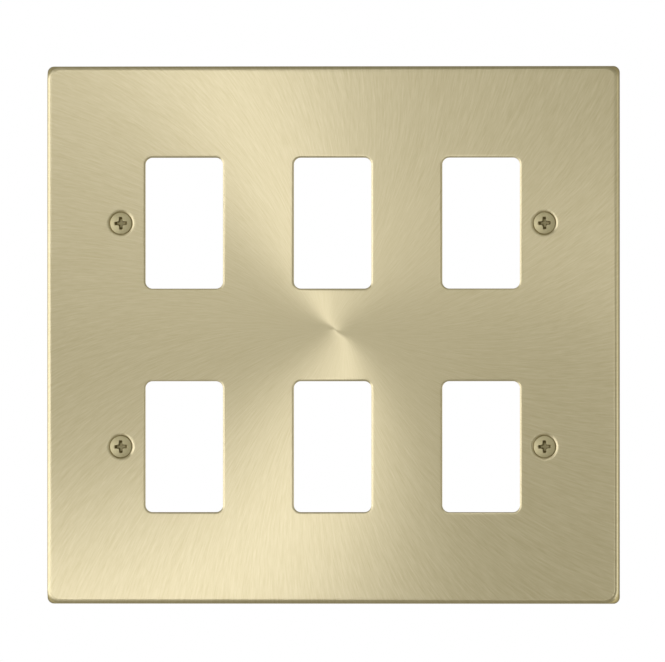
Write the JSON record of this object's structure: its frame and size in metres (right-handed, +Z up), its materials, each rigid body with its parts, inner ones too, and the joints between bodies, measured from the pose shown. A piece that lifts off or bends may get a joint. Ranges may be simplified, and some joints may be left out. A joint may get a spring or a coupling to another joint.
{
  "type": "grid switch plate",
  "caption": "Flat pressed brass front plate with a rolled edge, rows of rectangular module apertures, and countersunk cross recess screws in dimpled holes.",
  "frame": {"origin": "middle of the plate on the wall plane, where its back rim rests", "axes": "+Z up the plate, +X across it to the right as seen from the front, +Y back into the wall; the face looks along -Y"},
  "size_m": [0.163, 0.0255, 0.1528],
  "materials": {
    "plate_brass": "satin, brushed in rays from the middle",
    "screw_brass": "satin plated"
  },
  "bodies": {
    "root": {"front_plate": "plate_brass", "fixing_screws": "screw_brass"}
  },
  "joints": []
}
